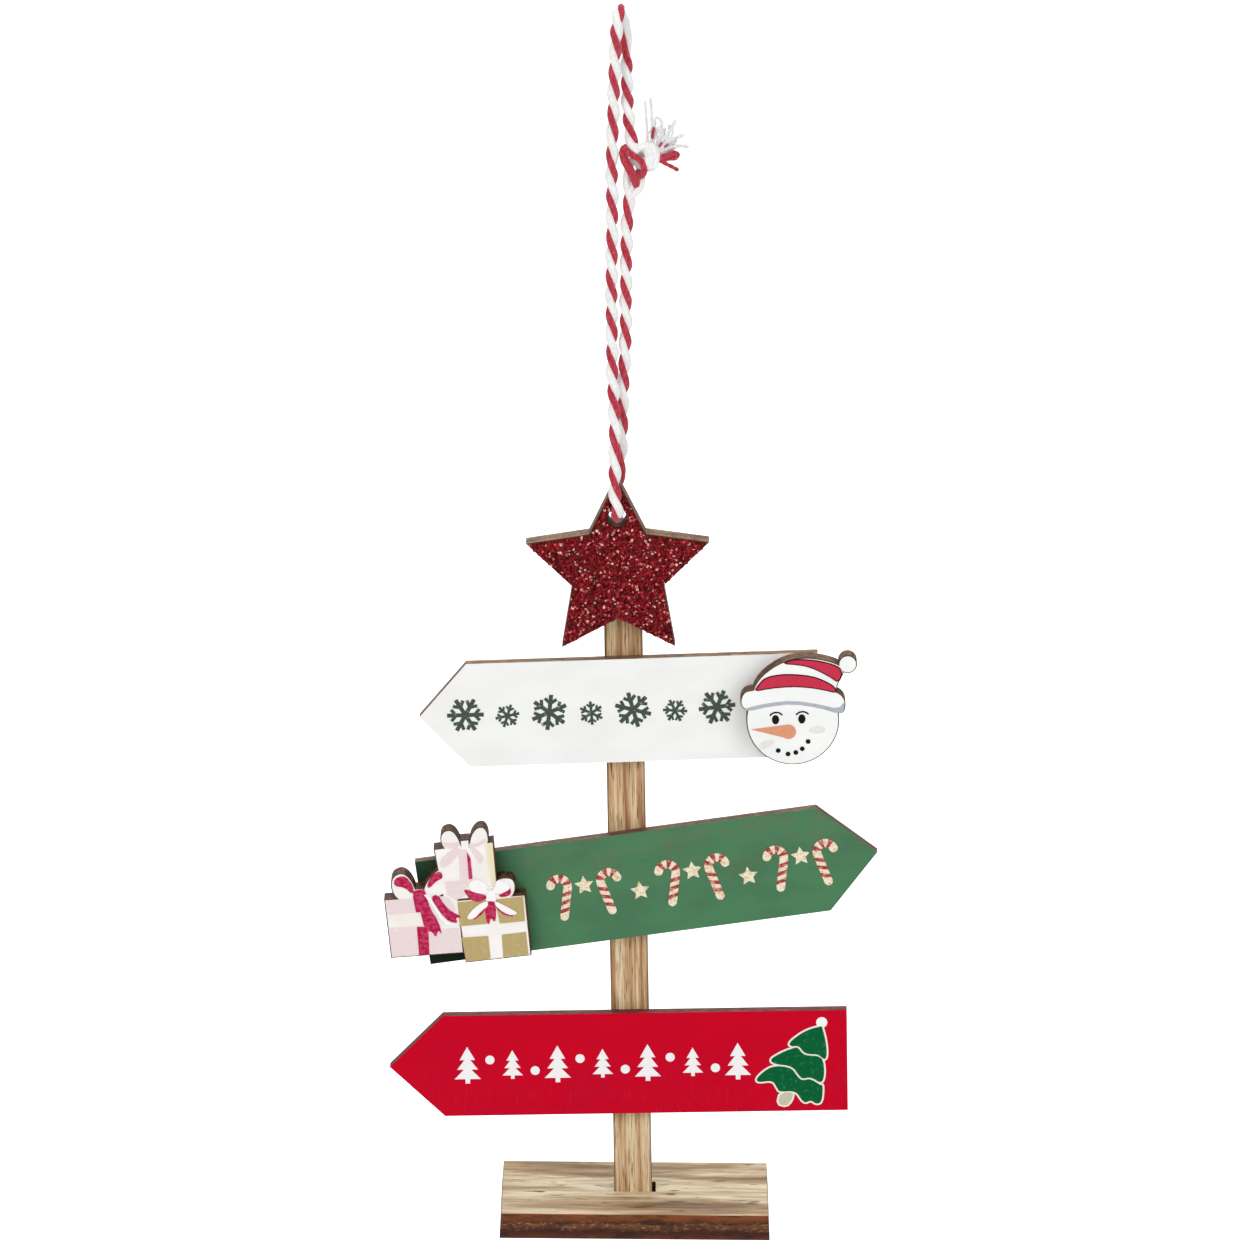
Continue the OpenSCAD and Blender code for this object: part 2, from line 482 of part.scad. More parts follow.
// Route of the twine: up from the knot, over the top, down in front, through the
// hole from the front and up behind the star, back to the knot
route = [[1.4, 0.6, -18], [1.4, 0.6, -16.5], [1.2, 0.7, -13], [1, 0.9, -9.5], [0.9, 1.4, -6],
    [0.7, 1.9, -3], [0.4, 1.8, -0.8], [0.2, 1.1, 0.5], [0, 0, 0.9],
    [-0.2, -1.1, 0.5], [-0.4, -1.8, -0.8], [-0.5, -1.9, -3], [-0.6, -1.4, -6], [-0.7, -0.9, -9.5],
    [-0.8, -0.5, -14], [-0.9, -0.3, -20], [-0.8, -0.3, -26], [-0.8, -0.3, -32], [-0.8, -0.3, -38],
    [-0.7, -0.4, -43], [-0.6, -0.7, -48], [-0.3, -1.1, -53], [-0.2, -1.7, -57.5],
    [-0.2, -2.5, -61.5], [-0.1, -2.95, -64], [0.2, -3.0, -66.1], [0.2, -2.65, -66.95],
    [0.2, -1.8, -67.3], [0.2, 1.5, -67.3], [0.2, 2.25, -67], [0.2, 2.55, -66.25],
    [0.3, 2.6, -64.5], [0.5, 2.4, -62], [0.7, 1.9, -58.5], [0.8, 1.3, -54], [0.9, 0.8, -49],
    [1.1, 0.5, -43.5], [1.1, 0.4, -38], [1.1, 0.4, -32], [1.2, 0.4, -27.5],
    [1.4, 0.6, -24.5], [1.4, 0.6, -23]];
twine_sides = 8;
function unit(v) = v / norm(v);
function heading(i) = unit(route[min(i + 1, len(route) - 1)] - route[max(i - 1, 0)]);
function ring(i) = let (t = heading(i), side = unit(cross(t, [1, 0, 0])), up = cross(t, side))
    [for (k = [0:twine_sides - 1]) let (a = 360 * k / twine_sides)
        route[i] + twine_d / 2 * (cos(a) * side + sin(a) * up)];
module twine_loop() color("indianred") {
    last = len(route) - 1;
    polyhedron([for (i = [0:last]) each ring(i)],
        concat([[for (k = [0:twine_sides - 1]) k]],
            [[for (k = [twine_sides - 1:-1:0]) last * twine_sides + k]],
            [for (i = [0:last - 1], k = [0:twine_sides - 1]) let (n = (k + 1) % twine_sides)
                [i * twine_sides + n, i * twine_sides + k,
                 (i + 1) * twine_sides + k, (i + 1) * twine_sides + n]]));
}

// Overhand knot with the two frayed ends of the twine
knot_mid = [2.05, 0.4, -20.5];
knot_r = 1.75;
knot_out = [3.7, 0.3, -19];
module strand(from, to, r1, r2) {
    run = to - from;
    translate(from) rotate([0, acos(run.z / norm(run)), atan2(run.y, run.x)])
        cylinder(h = norm(run), r1 = r1, r2 = r2, $fn = 24);
}
fray_tips = [[3.2, -0.2, -12], [4.9, 0.6, -12.6], [6.6, -0.3, -14.2], [8.4, 0.5, -16.6],
    [9.2, 0.1, -18.6]];
red_tips = [[8.1, -0.3, -19.8], [7.9, 0.4, -21.4]];
module twine_knot() color("mistyrose") {
    translate(knot_mid) sphere(r = knot_r, $fn = 32);
    strand([1.4, 0.6, -23], [1.4, 0.6, -18], twine_d / 2, twine_d / 2);
    strand(knot_mid, knot_out, 1.05, 0.9);
    translate(knot_out) sphere(r = 0.9, $fn = 32);
    for (tip = fray_tips) strand(knot_out, tip, 0.42, 0.16);
    for (tip = red_tips) strand(knot_mid + [1, -0.1, 0.4], tip, 0.5, 0.3);
}

base();
post();
star();
star_glitter();
white_board();
white_paint();
snowflake_print();
green_board();
green_paint();
candy_print();
candy_stripes();
red_board();
red_paint();
fir_print();
tree_outline();
tree_green();
tree_trunk();
snowman();
snowman_paint();
hat_lines();
hat_stripes();
brim_shadow();
carrot_nose();
coal_marks();
cheek_blush();
gifts();
gifts_paint();
gift_wrap_pink();
gift_wrap_tan();
gift_ribbon_red();
gift_ribbon_white();
twine_loop();
twine_knot();
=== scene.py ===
"""Looks of a hanging signpost ornament: plywood, paint, glitter and striped twine.

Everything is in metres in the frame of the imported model: the origin is under the top of the
twine's loop, +Z is up and the boards face -Y.
"""
import math

import bpy
import numpy as np
from mathutils import Matrix, Vector


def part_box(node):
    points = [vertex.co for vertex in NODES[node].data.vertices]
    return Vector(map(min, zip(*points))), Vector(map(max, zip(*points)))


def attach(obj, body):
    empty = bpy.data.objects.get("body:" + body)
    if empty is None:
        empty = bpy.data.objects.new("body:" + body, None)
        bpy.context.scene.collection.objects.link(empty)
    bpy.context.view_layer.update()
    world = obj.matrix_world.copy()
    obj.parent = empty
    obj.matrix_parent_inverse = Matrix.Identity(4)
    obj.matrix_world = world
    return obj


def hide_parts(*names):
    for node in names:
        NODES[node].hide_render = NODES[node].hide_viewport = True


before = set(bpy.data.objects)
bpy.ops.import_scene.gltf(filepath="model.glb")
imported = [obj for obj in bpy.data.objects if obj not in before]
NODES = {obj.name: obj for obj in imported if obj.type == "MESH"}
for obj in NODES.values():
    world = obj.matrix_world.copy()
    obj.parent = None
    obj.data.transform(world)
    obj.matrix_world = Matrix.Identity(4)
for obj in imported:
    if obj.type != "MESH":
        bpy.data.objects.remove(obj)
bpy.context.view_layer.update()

MM = 0.001

# The camera looks down a little on the ornament, from far away, and is turned a little
PITCH = math.radians(16)
ROLL = math.radians(0.5)
LENS_MM = 282.57
SENSOR_MM = 36
CAMERA_TARGET = Vector((2.016, 1.5, -83.898)) * MM
CAMERA_DISTANCE = 1318.67 * MM
NEAREST_SEEN = 0.01
FURTHEST_SEEN = 50


def add_camera():
    forward = Vector((0, math.cos(PITCH), -math.sin(PITCH)))
    level_up = Vector((0, math.sin(PITCH), math.cos(PITCH)))
    across = Vector((1, 0, 0))
    right = across * math.cos(ROLL) + level_up * math.sin(ROLL)
    up = level_up * math.cos(ROLL) - across * math.sin(ROLL)
    data = bpy.data.cameras.new("camera")
    data.lens = LENS_MM
    data.sensor_width = SENSOR_MM
    data.clip_start = NEAREST_SEEN
    data.clip_end = FURTHEST_SEEN
    camera = bpy.data.objects.new("camera", data)
    bpy.context.scene.collection.objects.link(camera)
    turn = Matrix((right, up, -forward)).transposed().to_4x4()
    camera.matrix_world = Matrix.Translation(CAMERA_TARGET - forward * CAMERA_DISTANCE) @ turn
    bpy.context.scene.camera = camera


add_camera()
bpy.context.scene.view_settings.view_transform = "Standard"


# Materials

def linear(code):
    """A colour written as RRGGBB, as the shader takes it."""
    parts = [int(code[i:i + 2], 16) / 255 for i in (0, 2, 4)]
    return [c / 12.92 if c <= 0.04045 else ((c + 0.055) / 1.055) ** 2.4 for c in parts] + [1.0]


class Finish:
    """One material. node, set and bump return a node or the material, the rest an output."""

    def __init__(self, name, roughness):
        self.material = bpy.data.materials.new(name)
        self.material.use_nodes = True
        self.tree = self.material.node_tree
        self.shader = self.tree.nodes["Principled BSDF"]
        self.shader.inputs["Roughness"].default_value = roughness

    def feed(self, socket, value):
        if isinstance(value, bpy.types.NodeSocket):
            self.tree.links.new(value, socket)
        elif isinstance(value, str):
            socket.default_value = linear(value)
        else:
            socket.default_value = value

    def set(self, **inputs):
        for name, value in inputs.items():
            self.feed(self.shader.inputs[name.replace("_", " ")], value)
        return self

    def colour(self):
        """What feeds the base colour so far."""
        return self.shader.inputs["Base Color"].links[0].from_socket

    def node(self, kind, sockets=None, **settings):
        made = self.tree.nodes.new(kind)
        for name, value in settings.items():
            setattr(made, name, value)
        for key, value in (sockets or {}).items():
            self.feed(made.inputs[key], value)
        return made

    def place(self, centre, turn, size):
        """Coordinates in a piece's own frame, counted in the sizes given, turned about Y."""
        at = self.node("ShaderNodeTexCoord").outputs["Object"]
        return self.node("ShaderNodeMapping", {
            "Vector": at, "Location": tuple(centre), "Rotation": (0, -turn, 0), "Scale": size,
        }, vector_type="TEXTURE").outputs["Vector"]

    def noise(self, centre, turn, size_mm, detail, roughness, distortion=0.0):
        """Noise from 0 to 1 in a piece's own frame, its lumps as large as the sizes given."""
        return self.node("ShaderNodeTexNoise", {
            "Vector": self.place(centre, turn, tuple(v * MM for v in size_mm)),
            "Scale": 1.0, "Detail": detail, "Roughness": roughness, "Distortion": distortion,
        }).outputs["Fac"]

    def ramp(self, value, stops, constant=False):
        """Colours or levels along a value: stops are (position, RRGGBB or level)."""
        made = self.node("ShaderNodeValToRGB", {"Fac": value})
        ramp = made.color_ramp
        ramp.interpolation = "CONSTANT" if constant else "LINEAR"
        while len(ramp.elements) < len(stops):
            ramp.elements.new(1.0)
        for element, (position, tone) in zip(ramp.elements, stops):
            element.position = position
            element.color = linear(tone) if isinstance(tone, str) else (tone, tone, tone, 1)
        return made.outputs["Color"]

    def mix(self, factor, a, b):
        """Colour a at factor 0 and b at factor 1. A Mix node keeps its colours in these sockets."""
        made = self.node("ShaderNodeMix", {0: factor, 6: a, 7: b}, data_type="RGBA")
        return made.outputs[2]

    def math(self, operation, a, b=0.0):
        return self.node("ShaderNodeMath", {0: a, 1: b}, operation=operation).outputs[0]

    def span(self, value, low, high):
        """0 at low, 1 at high, straight between them and level beyond. Low may be above high."""
        return self.node("ShaderNodeMapRange", {"Value": value, "From Min": low, "From Max": high},
                         clamp=True).outputs["Result"]

    def parts(self, vector):
        return self.node("ShaderNodeSeparateXYZ", {0: vector}).outputs

    def facing(self, axis):
        """How far the surface faces along an axis, either way, from 0 to 1."""
        normal = self.node("ShaderNodeNewGeometry").outputs["Normal"]
        return self.math("ABSOLUTE", self.parts(normal)[axis])

    def bump(self, height, depth, strength):
        sockets = {"Height": height, "Distance": depth, "Strength": strength}
        return self.set(Normal=self.node("ShaderNodeBump", sockets).outputs["Normal"])


def dress(name, finish):
    """Gives a CAD node its material."""
    slots = NODES[name].data.materials
    slots.clear()
    slots.append(finish.material)


X, Y, Z = 0, 1, 2
# From 0 to 1, how far a surface has to face an axis to be a face of the wood and not an edge
FACING = (0.5, 0.6)


def middle(name):
    low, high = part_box(name)
    return (low + high) / 2


# Angles of the post and the boards, seen from the front
POST_TURN = math.radians(91.45)
WHITE_TURN = math.radians(2.45)
GREEN_TURN = math.radians(8.55)
RED_TURN = math.radians(1.45)
NO_TURN = 0.0

# Width of the post, half the height of a board, and thickness of the base
POST_WIDTH = 5.1 * MM
BOARD_HALF = 5.8 * MM
BASE_THICK = 3.4 * MM
# Darker lines on the post and burnt lines on the base: where each begins and is full,
# as shares of the way from the middle to the side
POST_LINE = (0.88, 0.95)
BASE_SIDE_LINE = (0.982, 0.99)
BASE_BACK_LINE = (0.97, 0.985)

# A gloss is a level of specular reflection, where a plain plastic has 0.5
WOOD_GLOSS = 0.15
WOOD_ROUGHNESS = 0.62
PLY_ROUGHNESS = 0.65
PAINT_GLOSS = 0.05
PAINT_ROUGHNESS = 0.55
PRINT_ROUGHNESS = 0.6
COTTON_ROUGHNESS = 0.85
FLAKE_GLOSS = 0.1
FLAKE_ROUGHNESS = 0.3

# Depth in metres and strength of each bump
POST_BUMP = (0.06 * MM, 0.6)
BASE_BUMP = (0.08 * MM, 0.7)
PLY_BUMP = (0.04 * MM, 0.5)
PAINT_BUMP = (0.03 * MM, 0.5)
PRINT_BUMP = (0.01 * MM, 0.3)
COTTON_BUMP = (0.06 * MM, 0.8)

# Noise of each kind of mark: its size in mm along X, Y and Z, with X turned along the grain,
# then its detail, its roughness and in some its distortion
BROAD_GRAIN = ((30, 4, 1.1), 4, 0.6, 0.4)
FINE_LINES = ((9, 1, 0.18), 4, 0.7, 0.2)
OPEN_PORES = ((3.6, 0.9, 0.15), 2, 0.5)
SMOKE = ((16, 2, 1), 4, 0.65)
LAYER_WOBBLE = ((2, 2, 0.5), 3, 0.6)
LAYER_SPECKS = ((0.6, 0.6, 0.3), 2, 0.6)
SOOT = ((4, 4, 0.9), 4, 0.65)
EDGE_BURN = ((2.2, 1, 2.2), 4, 0.65)
EDGE_SPECKS = ((0.5, 0.9, 0.5), 3, 0.6)
SOFT_PAINT = ((9, 9, 4), 2, 0.5)
BRUSH_LINES = ((6, 1, 0.3), 3, 0.6)
RUBBED_PATCHES = ((7, 7, 2.4), 3, 0.6)
RUBBED_SPECKS = ((1.4, 1, 0.5), 3, 0.7)
SCRATCHES = ((3, 1, 0.2), 2, 0.5)
PRINT_WEAR = ((0.8, 0.8, 0.5), 3, 0.65)
CANDY_SPECKS = ((0.42, 1, 0.36), 1, 0.4)
COTTON_THREADS = ((0.22, 0.22, 0.8), 3, 0.6)


def grain(finish, centre, turn, light, mid, dark, streak, lines, pores):
    """Open-pored wood, with its grain along the turned X. Returns a colour and a height.

    lines and pores are the noise levels where the fine lines and the pores begin.
    """
    broad = finish.noise(centre, turn, *BROAD_GRAIN)
    fine = finish.noise(centre, turn, *FINE_LINES)
    pore = finish.noise(centre, turn, *OPEN_PORES)
    tone = finish.ramp(broad, [(0.36, light), (0.46, mid), (0.56, dark), (0.7, streak)])
    tone = finish.mix(finish.ramp(fine, [(lines, 0.0), (lines + 0.1, 0.8)]), tone, dark)
    tone = finish.mix(finish.ramp(pore, [(pores, 0.0), (pores + 0.08, 0.9)]), tone, streak)
    return tone, fine


def post_wood():
    """Streaked wood, darker in a thin line down each side of its faces."""
    f = Finish("post_wood", WOOD_ROUGHNESS).set(Specular_IOR_Level=WOOD_GLOSS)
    centre = middle("post")
    front, height = grain(f, centre, POST_TURN, "EAD6B2", "DABC94", "AA8058", "5C4030", 0.51, 0.6)
    across = f.math("ABSOLUTE", f.parts(f.place(centre, POST_TURN, (1, 1, POST_WIDTH / 2)))[Z])
    front = f.mix(f.math("MULTIPLY", f.span(across, *POST_LINE), 0.7), front, "5E4434")
    side = f.mix(0.6, front, "7A5840")
    f.set(Base_Color=f.mix(f.span(f.facing(Y), *FACING), side, front))
    return f.bump(height, *POST_BUMP)


def base_top(f, centre, half):
    """Streaked wood, smoked towards the back, with burnt lines at its sides and its back."""
    top, height = grain(f, centre, NO_TURN, "F4E8CC", "E8D8B6", "BCA078", "6A4E36", 0.53, 0.62)
    share = f.parts(f.place(centre, NO_TURN, half))
    smoke = f.span(f.noise(centre, NO_TURN, *SMOKE), 0.44, 0.62)
    smoke = f.math("MULTIPLY", smoke, f.span(share[Y], -0.2, 0.6))
    top = f.mix(f.math("MULTIPLY", smoke, 0.75), top, "80664A")
    sides = f.span(f.math("ABSOLUTE", share[X]), *BASE_SIDE_LINE)
    rim = f.math("MAXIMUM", sides, f.span(share[Y], *BASE_BACK_LINE))
    return f.mix(f.math("MULTIPLY", rim, 0.7), top, "5A4432"), height


def base_edge(f, centre, low):
    """Dark laser-cut side: the plywood's layers from bottom to top, pale specks and soot."""
    level = f.parts(f.place(low, NO_TURN, (1, 1, BASE_THICK)))[Z]
    wobble = f.math("SUBTRACT", f.noise(centre, NO_TURN, *LAYER_WOBBLE), 0.5)
    level = f.math("ADD", level, f.math("MULTIPLY", wobble, 0.3))
    layers = f.ramp(level, [(0.0, "5E3420"), (0.14, "4C2618"), (0.3, "3C1A16"), (0.42, "5A3420"),
                            (0.56, "6E442A"), (0.66, "4A281A"), (0.78, "74401F"), (0.95, "804626")])
    band = f.ramp(level, [(0.25, 0.0), (0.44, 1.0), (0.6, 1.0), (0.8, 0.0)])
    speck = f.span(f.noise(centre, NO_TURN, *LAYER_SPECKS), 0.54, 0.64)
    speck = f.math("MULTIPLY", speck, band)
    layers = f.mix(f.math("MULTIPLY", speck, 0.7), layers, "9A7450")
    soot = f.ramp(f.noise(centre, NO_TURN, *SOOT), [(0.46, 0.0), (0.64, 0.75)])
    return f.mix(soot, layers, "24140E")


def base_wood():
    """Streaked top and dark laser-cut sides."""
    f = Finish("base_wood", WOOD_ROUGHNESS).set(Specular_IOR_Level=WOOD_GLOSS)
    centre = middle("base")
    low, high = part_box("base")
    top, height = base_top(f, centre, tuple((high - low) / 2))
    edge = base_edge(f, centre, low)
    f.set(Base_Color=f.mix(f.span(f.facing(Z), *FACING), edge, top))
    return f.bump(height, *BASE_BUMP)


def plywood(name, node, turn, edge_light, edge_dark, fleck):
    """A board's back, its laser-cut edges and the burnt rim of its front."""
    f = Finish(name, PLY_ROUGHNESS).set(Specular_IOR_Level=WOOD_GLOSS)
    centre = middle(node)
    face, height = grain(f, centre, turn, "E0CBA6", "D3B98F", "B49470", "8E6C4A", 0.52, 0.62)
    low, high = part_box(node)
    depth = f.parts(f.place(low, NO_TURN, (1, (high - low)[Y], 1)))[Y]
    burn = f.ramp(f.noise(centre, turn, *EDGE_BURN), [(0.4, 0.0), (0.6, 1.0)])
    edge = f.mix(burn, edge_light, edge_dark)
    edge = f.mix(f.ramp(depth, [(0.0, 0.5), (0.12, 0.0), (0.3, 0.1), (0.36, 0.5), (0.62, 0.5),
                                (0.68, 0.1), (0.86, 0.0), (1.0, 0.8)]), edge, edge_dark)
    slant = f.span(f.facing(Z), 0.97, 0.9)
    edge = f.mix(f.math("MULTIPLY", slant, 0.85), edge, edge_dark)
    if fleck:
        speck = f.noise(centre, turn, *EDGE_SPECKS)
        edge = f.mix(f.ramp(speck, [(0.54, 0.0), (0.66, 0.55)]), edge, fleck)
    face = f.mix(f.math("LESS_THAN", depth, 0.5), face, "56402F")
    f.set(Base_Color=f.mix(f.span(f.facing(Y), *FACING), edge, face))
    return f.bump(height, *PLY_BUMP)


def coat(name, node, turn, colour, shade):
    """A coat of paint over wood grain."""
    f = Finish(name, PAINT_ROUGHNESS).set(Specular_IOR_Level=PAINT_GLOSS)
    centre = middle(node)
    soft = f.noise(centre, turn, *SOFT_PAINT)
    f.set(Base_Color=f.mix(f.span(soft, 0.4, 0.65), colour, shade))
    return f.bump(f.noise(centre, turn, *BRUSH_LINES), *PAINT_BUMP)


def worn_coat(name, node, turn, colour, shade, scuff, scratch, drag_turn, rubbed_side):
    """Paint with rubbed patches and fine scratches, mostly on its upper (1) or lower (-1) side."""
    f = coat(name, node, turn, colour, shade)
    centre = middle(node)
    side = f.math("MULTIPLY", f.parts(f.place(centre, turn, (1, 1, BOARD_HALF)))[Z], rubbed_side)
    side = f.span(side, -0.3, 0.8)
    patch = f.span(f.noise(centre, turn, *RUBBED_PATCHES), 0.44, 0.62)
    speck = f.span(f.noise(centre, turn, *RUBBED_SPECKS), 0.4, 0.62)
    rubbed = f.math("MULTIPLY", f.math("MULTIPLY", patch, speck), side)
    tone = f.mix(f.math("MULTIPLY", rubbed, 0.45), f.colour(), scuff)
    drag = f.span(f.noise(centre, turn + drag_turn, *SCRATCHES), 0.58, 0.72)
    drag = f.math("MULTIPLY", drag, side)
    return f.set(Base_Color=f.mix(f.math("MULTIPLY", drag, 0.25), tone, scratch))


def green_coat():
    """Green paint, darker in the shade behind the gifts."""
    f = worn_coat("green_coat", "green_paint", GREEN_TURN, "4D7F5A", "4A7656", "74664C", "6E8874",
                  math.radians(12), 1)
    low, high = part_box("gifts")
    wide, tall = high[X] - low[X], high[Z] - low[Z]
    at = f.parts(f.node("ShaderNodeTexCoord").outputs["Object"])
    shade = f.span(at[X], low[X] + 0.96 * wide, low[X] + 0.6 * wide)
    depth = f.span(at[Z], low[Z] + 0.7 * tall, low[Z] + 0.2 * tall)
    dark = f.mix(depth, "2C4A34", "10160E")
    return f.set(Base_Color=f.mix(f.math("MULTIPLY", shade, 0.95), f.colour(), dark))


def gift_paper():
    """White paper with a cream side at the right of the upper and of the front box."""
    f = coat("gifts_coat", "gifts_paint", NO_TURN, "FAF6F4", "F3ECE4")
    low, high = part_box("gifts")
    at = f.parts(f.place((low + high) / 2, GREEN_TURN, tuple((high - low) / 2)))
    upper = f.math("MULTIPLY", f.span(at[Z], -0.1, 0.0), f.span(at[Z], 0.74, 0.66))
    upper = f.math("MULTIPLY", upper, f.span(at[X], 0.44, 0.5))
    upper = f.math("MULTIPLY", upper, f.span(at[X], 0.58, 0.56))
    front = f.math("MULTIPLY", f.span(at[Z], 0.04, -0.04), f.span(at[X], 0.88, 0.92))
    return f.set(Base_Color=f.mix(f.math("MAXIMUM", upper, front), f.colour(), "EEE2BE"))


def ink(name, node, turn, colour, worn, wear):
    """A thin print, rubbed where the noise is above the wear level."""
    f = Finish(name, PRINT_ROUGHNESS).set(Specular_IOR_Level=PAINT_GLOSS)
    rub = f.noise(middle(node), turn, *PRINT_WEAR)
    f.set(Base_Color=f.mix(f.ramp(rub, [(wear, 0.0), (wear + 0.1, 0.8)]), colour, worn))
    return f.bump(rub, *PRINT_BUMP)


def candy_ink():
    """Cream print with small red and gold specks."""
    f = ink("candy_ink", "candy_print", GREEN_TURN, "EFE6CC", "D8BC84", 0.5)
    speck = f.noise(middle("candy_print"), GREEN_TURN, *CANDY_SPECKS)
    tone = f.ramp(speck, [(0.0, "C8505A"), (0.3, "C8505A"), (0.36, "F4E8DC"), (0.62, "F4E8DC"),
                          (0.68, "B49A50")])
    mask = f.ramp(speck, [(0.3, 0.9), (0.38, 0.0), (0.62, 0.0), (0.7, 0.8)])
    return f.set(Base_Color=f.mix(mask, f.colour(), tone))


def tree_line():
    """Cream print, white at the bobble on top."""
    f = ink("cream_ink", "tree_outline", RED_TURN, "F2EEE0", "E4DECC", 0.62)
    height = f.parts(f.node("ShaderNodeTexCoord").outputs["Object"])[Z]
    bobble = f.math("GREATER_THAN", height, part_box("tree_green")[1][Z])
    return f.set(Base_Color=f.mix(bobble, f.colour(), "F8F6F4"))


# Material, node, turn, light and dark of the cut edge, and its flecks
PLYWOODS = [
    ("star_ply", "star", NO_TURN, "9E7C5C", "604636", "B08E6A"),
    ("white_ply", "white_board", WHITE_TURN, "B48C60", "6C5442", None),
    ("green_ply", "green_board", GREEN_TURN, "94705A", "5C4434", None),
    ("red_ply", "red_board", RED_TURN, "8C4A44", "502824", None),
    ("snowman_ply", "snowman", NO_TURN, "8E6A4A", "4A3426", "AC844E"),
    ("gifts_ply", "gifts", NO_TURN, "6A4430", "352218", "A0703E"),
]
# Material, node, turn, colour, colour where it is worn, and the level of noise where wear begins
INKS = [
    ("grey_ink", "snowflake_print", WHITE_TURN, "46524A", "B8BEB8", 0.6),
    ("stripe_ink", "candy_stripes", GREEN_TURN, "A83A44", "D8A090", 0.5),
    ("white_ink", "fir_print", RED_TURN, "F4F2F2", "E8A8B0", 0.66),
    ("tree_ink", "tree_green", RED_TURN, "055C32", "2A7E50", 0.56),
    ("trunk_ink", "tree_trunk", RED_TURN, "C8C4AC", "B0A890", 0.6),
    ("maroon_ink", "hat_lines", NO_TURN, "420C18", "5A1424", 0.5),
    ("crimson_ink", "hat_stripes", NO_TURN, "CA364E", "B02C44", 0.58),
    ("shadow_ink", "brim_shadow", NO_TURN, "B4B8C2", "A2A8B2", 0.55),
    ("carrot_ink", "carrot_nose", NO_TURN, "DE9C76", "DA8E7A", 0.52),
    ("coal_ink", "coal_marks", NO_TURN, "181414", "302828", 0.6),
    ("blush_ink", "cheek_blush", NO_TURN, "EAE3E0", "F1ECEA", 0.5),
    ("pink_ink", "gift_wrap_pink", NO_TURN, "ECD9D9", "F2E6E4", 0.55),
    ("tan_ink", "gift_wrap_tan", NO_TURN, "BBA672", "C6B482", 0.55),
    ("ribbon_ink", "gift_ribbon_red", NO_TURN, "B21844", "CA4870", 0.46),
    ("ribbon_white_ink", "gift_ribbon_white", NO_TURN, "FBF8F8", "F4EEF0", 0.6),
    ("glitter_card", "star_glitter", NO_TURN, "4A0508", "660A10", 0.5),
]

for row in PLYWOODS:
    dress(row[1], plywood(*row))
for row in INKS:
    dress(row[1], ink(*row))
dress("post", post_wood())
dress("base", base_wood())
dress("white_paint", coat("white_coat", "white_paint", WHITE_TURN, "F6F7F5", "F1F2F0"))
dress("snowman_paint", coat("snowman_coat", "snowman_paint", NO_TURN, "FAFBF9", "F3F5F2"))
dress("gifts_paint", gift_paper())
dress("green_paint", green_coat())
dress("red_paint", worn_coat("red_coat", "red_paint", RED_TURN, "C90022", "C40024", "A81438",
                             "D02C4C", math.radians(90), -1))
dress("candy_print", candy_ink())
dress("tree_outline", tree_line())


# The twine

SAMPLES = 24


def spread_evenly(points, step):
    """A smooth line through the points, with its own points a step apart.

    Each span is a cubic of SAMPLES short pieces. Its lean at a point is the mean of the two
    slopes there, and the nearer neighbour counts for more.
    """
    p = np.array(points, float)
    gap = np.linalg.norm(np.diff(p, axis=0), axis=1)[:, None]
    slope = np.diff(p, axis=0) / gap
    lean = np.vstack([slope[:1], (slope[:-1] * gap[1:] + slope[1:] * gap[:-1]) / (gap[:-1] + gap[1:]),
                      slope[-1:]])
    t = np.linspace(0, 1, SAMPLES, endpoint=False)[:, None]
    pieces = []
    for i in range(len(gap)):
        pieces.append((2 * t**3 - 3 * t**2 + 1) * p[i] + (t**3 - 2 * t**2 + t) * gap[i] * lean[i]
                      + (3 * t**2 - 2 * t**3) * p[i + 1] + (t**3 - t**2) * gap[i] * lean[i + 1])
    fine = np.vstack(pieces + [p[-1:]])
    along = distance_along(fine)
    at = np.linspace(0, along[-1], int(along[-1] / step) + 1)
    return np.stack([np.interp(at, along, fine[:, k]) for k in range(3)], axis=1)


def distance_along(line):
    return np.concatenate([[0], np.cumsum(np.linalg.norm(np.diff(line, axis=0), axis=1))])


def line_frames(line):
    """The heading of a line at each point, and two directions across it that don't spin."""
    ahead = np.gradient(line, axis=0)
    ahead /= np.linalg.norm(ahead, axis=1)[:, None]
    side = np.empty_like(ahead)
    last = np.cross(ahead[0], (0.0, 1.0, 0.0))
    for i, heading in enumerate(ahead):
        last = last - heading * last.dot(heading)
        last /= np.linalg.norm(last)
        side[i] = last
    return ahead, side, np.cross(ahead, side)


def tube(line, radius, sides, lobes=0, lobe_depth=0.0, lobe_lay=1.0):
    """Points and faces of a closed tube. radius is one number or one for each point.

    Its lobes are strands that wind round it, one turn in a length of lobe_lay.
    """
    ahead, side, up = line_frames(line)
    count = len(line)
    radius = np.broadcast_to(np.asarray(radius, float), (count,))[:, None]
    turn = np.linspace(0, 2 * math.pi, sides, endpoint=False)[None, :]
    winding = 2 * math.pi * distance_along(line)[:, None] / lobe_lay
    reach = radius * (1 + lobe_depth * np.cos(lobes * turn + winding))
    outward = np.cos(turn)[..., None] * side[:, None, :] + np.sin(turn)[..., None] * up[:, None, :]
    points = (line[:, None, :] + reach[..., None] * outward).reshape(-1, 3)
    faces = [list(range(sides))[::-1], list(range((count - 1) * sides, count * sides))]
    for i in range(count - 1):
        for k in range(sides):
            n = (k + 1) % sides
            faces.append([i * sides + k, i * sides + n, (i + 1) * sides + n, (i + 1) * sides + k])
    return points, faces


